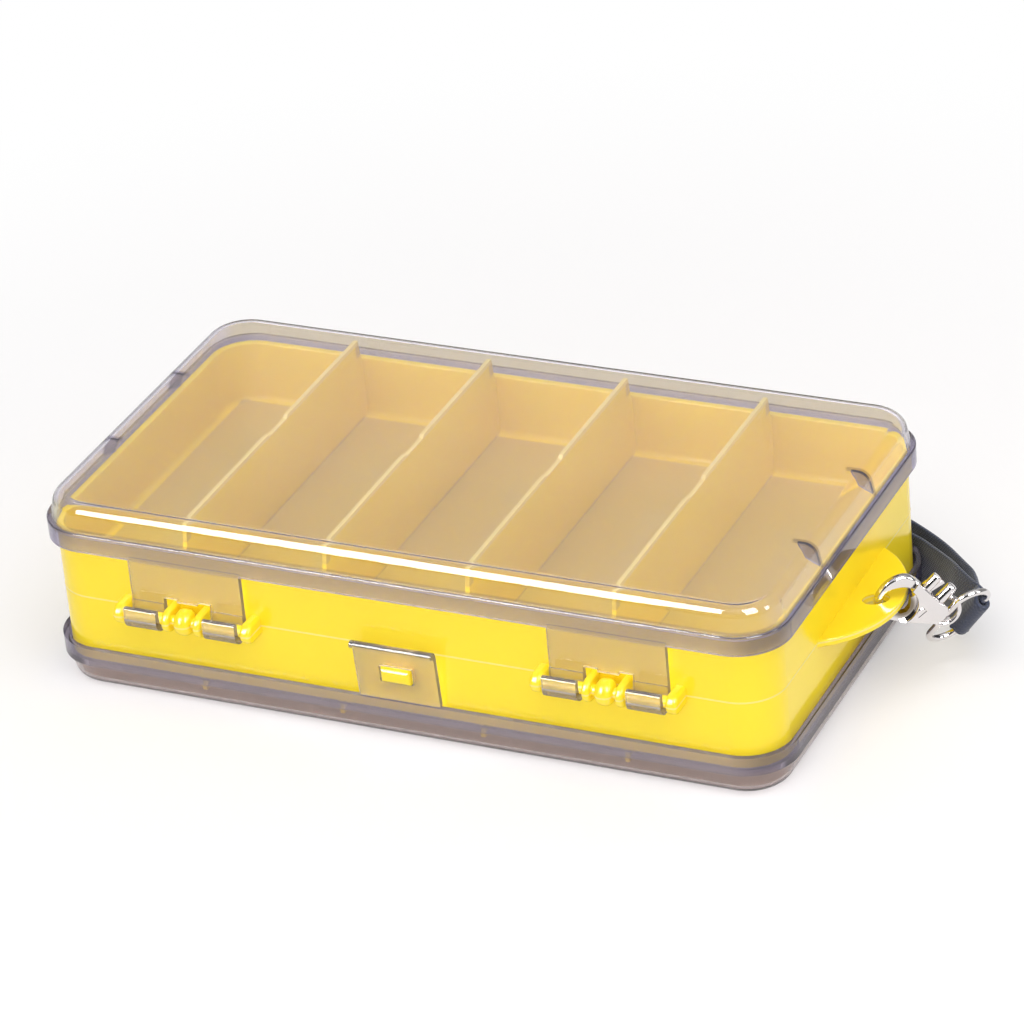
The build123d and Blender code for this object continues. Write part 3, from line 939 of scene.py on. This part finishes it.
class TACKLEBOX_OT_snap_hook(bpy.types.Operator):
    """Finish the snap hook, its lever, rivet and spring, and the ring"""

    bl_idname = "tackle_box.snap_hook"
    bl_label = "Snap hook"

    def execute(self, context):
        colours = context.scene.tackle_box_colours
        dress(BRIGHT_NODES, bright_metal(colours))
        dress(["clasp_spring"], spring_wire(colours))
        return {"FINISHED"}


class TACKLEBOX_OT_wrist_strap(bpy.types.Operator):
    """Build the wrist strap and the stitching of its seam"""

    bl_idname = "tackle_box.wrist_strap"
    bl_label = "Wrist strap"

    def execute(self, context):
        colours = context.scene.tackle_box_colours
        strap = context.scene.tackle_box_strap
        band, line = build_strap(strap, webbing(colours, strap))
        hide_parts("strap")
        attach(band, "ring")
        seam = build_seam_thread(strap, thread(colours))
        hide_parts("strap_stitching")
        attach(seam, "ring")
        return {"FINISHED"}


class TACKLEBOX_OT_studio(bpy.types.Operator):
    """Set the floor, the lamps, the surroundings and the camera"""

    bl_idname = "tackle_box.studio"
    bl_label = "Studio"

    def execute(self, context):
        studio = context.scene.tackle_box_studio
        build_floor(studio)
        build_lamps()
        build_surroundings(studio)
        build_camera(studio)
        context.scene.view_settings.view_transform = "Standard"
        return {"FINISHED"}


# Studio


def build_floor(studio):
    """A pale round floor that takes a soft shadow under the box and is plain white further out."""
    radius = 3.0
    drop = 0.2 * MM
    shadow_edge = 0.15
    plain_edge = 0.36
    least_plain = 0.3
    bm = bmesh.new()
    bmesh.ops.create_circle(bm, cap_ends=True, segments=96, radius=radius)
    bmesh.ops.translate(bm, verts=bm.verts, vec=(0, 0, -drop))
    material, recipe = new_finish("pale_floor")
    x, y, _ = recipe.axes(recipe.place())
    away = (x * x + y * y) ** 0.5
    lit = recipe.node("ShaderNodeBsdfDiffuse", values={"Color": opaque(studio.floor_colour)})
    plain = recipe.node("ShaderNodeEmission", values={"Color": (1, 1, 1, 1), "Strength": 1.0})
    far = recipe.between(away, shadow_edge, plain_edge) * (1 - least_plain) + least_plain
    recipe.output(recipe.node("ShaderNodeMixShader", values={0: far, 1: lit, 2: plain}))
    floor = new_piece("floor", bm, material, smooth=False)


def add_lamp(name, direction, distance, size, power):
    """A soft rectangular lamp that faces the box, lights it and doesn't show in its gloss."""
    data = bpy.data.lights.new(name, "AREA")
    data.shape = "RECTANGLE"
    data.size, data.size_y = size
    data.energy = power
    lamp = bpy.data.objects.new(name, data)
    back = Vector(direction).normalized()
    lamp.location = Vector((0, 0, MIDDLE_HEIGHT)) + back * distance
    lamp.rotation_mode = "QUATERNION"
    lamp.rotation_quaternion = back.to_track_quat("Z", "Y")
    lamp.visible_glossy = False
    bpy.context.scene.collection.objects.link(lamp)
    return lamp


def add_softbox(name, direction, distance, size, power):
    """A lamp that shows as a highlight on glossy pieces and adds no other light."""
    lamp = add_lamp(name, direction, distance, size, power)
    lamp.visible_glossy = True
    lamp.visible_diffuse = False
    lamp.visible_transmission = False


def build_lamps():
    """Four lamps that light the box, and three softboxes that show only as highlights on it."""
    add_lamp("overhead", (0.30, -0.45, 1.0), distance=1.15, size=(1.2, 1.1), power=8.1)
    add_lamp("front_fill", (-0.15, -1.0, 0.22), distance=1.3, size=(0.9, 0.7), power=2.2)
    add_lamp("right_fill", (1.0, -0.30, 0.40), distance=1.3, size=(0.8, 0.7), power=1.3)
    add_lamp("back_fill", (-0.2, 1.0, 0.30), distance=1.3, size=(0.9, 0.7), power=1.1)
    add_softbox("left_softbox", (-0.391, -0.75, 0.53), distance=0.95, size=(0.36, 0.76), power=22)
    add_softbox("corner_softbox", (0.64, -0.45, 0.63), distance=0.95, size=(0.42, 0.70), power=17)
    add_softbox("right_softbox", (0.93, 0.02, 0.38), distance=0.9, size=(0.16, 0.30), power=2.4)


def build_surroundings(studio):
    """White behind the picture. Shiny pieces see a dark room with a pale ceiling and back wall."""
    world = bpy.data.worlds.new("studio")
    world.use_nodes = True
    bpy.context.scene.world = world
    recipe = Recipe(world.node_tree)
    seen = recipe.node("ShaderNodeLightPath")
    outputs = seen.socket.node.outputs
    straight = Wire(recipe, outputs["Is Camera Ray"])
    mirrored = Wire(recipe, outputs["Is Glossy Ray"])
    through = Wire(recipe, outputs["Is Transmission Ray"])
    bounced = recipe.maths("MINIMUM", Wire(recipe, outputs["Diffuse Depth"]), 1.0)
    direct = straight + through * (1 - bounced)
    heading = recipe.node("ShaderNodeTexCoord", give="Generated")
    _, back, up = recipe.axes(heading)
    overhead = recipe.above(up, 0.75, blend=0.3) * (1 - through)
    behind = recipe.above(back, 0.2, blend=1.0)
    room = behind * studio.back_wall + overhead * studio.ceiling + studio.dark_room
    strength = direct + mirrored * room + (1 - direct) * (1 - mirrored) * studio.ambient
    values = {"Color": (1, 1, 1, 1), "Strength": strength}
    recipe.output(recipe.node("ShaderNodeBackground", values=values))


def build_camera(studio):
    """The camera at the photograph's angle."""
    turn_round = Matrix.Rotation(studio.azimuth, 3, "Z")
    tilt = Matrix.Rotation(-studio.elevation, 3, "X")
    back = turn_round @ tilt @ Vector((0, -1, 0))
    level = turn_round @ Vector((1, 0, 0))
    upright = back.cross(level)
    right = level * math.cos(studio.roll) + upright * math.sin(studio.roll)
    up = back.cross(right)
    data = bpy.data.cameras.new("camera")
    data.lens = studio.lens
    data.sensor_width = 36
    data.clip_start = 0.05
    data.clip_end = 20
    camera = bpy.data.objects.new("camera", data)
    turn = Matrix((right, up, back)).transposed().to_4x4()
    camera.matrix_world = Matrix.Translation(Vector(studio.aim) + back * studio.distance) @ turn
    bpy.context.scene.collection.objects.link(camera)
    bpy.context.scene.camera = camera


# Panel and start


class TACKLEBOX_PT_panel(bpy.types.Panel):
    """Steps and settings of the tackle box"""

    bl_idname = "TACKLEBOX_PT_panel"
    bl_label = "Tackle Box"
    bl_space_type = "VIEW_3D"
    bl_region_type = "UI"
    bl_category = "Tackle Box"

    def draw(self, context):
        for operator in OPERATORS:
            self.layout.operator(operator.bl_idname)
        for name, group in SETTINGS.items():
            box = self.layout.box()
            for field in group.__annotations__:
                box.prop(getattr(context.scene, name), field)


OPERATORS = [
    TACKLEBOX_OT_yellow_moulding,
    TACKLEBOX_OT_clear_lids,
    TACKLEBOX_OT_snap_hook,
    TACKLEBOX_OT_wrist_strap,
    TACKLEBOX_OT_studio,
]


def register():
    for entry in [*SETTINGS.values(), *OPERATORS, TACKLEBOX_PT_panel]:
        bpy.utils.register_class(entry)
    for name, group in SETTINGS.items():
        setattr(bpy.types.Scene, name, PointerProperty(type=group))


def unregister():
    for name in SETTINGS:
        delattr(bpy.types.Scene, name)
    for entry in reversed([*SETTINGS.values(), *OPERATORS, TACKLEBOX_PT_panel]):
        bpy.utils.unregister_class(entry)


def main():
    register()
    bpy.ops.tackle_box.yellow_moulding()
    bpy.ops.tackle_box.clear_lids()
    bpy.ops.tackle_box.snap_hook()
    bpy.ops.tackle_box.wrist_strap()
    bpy.ops.tackle_box.studio()


if __name__ == "__main__":
    main()
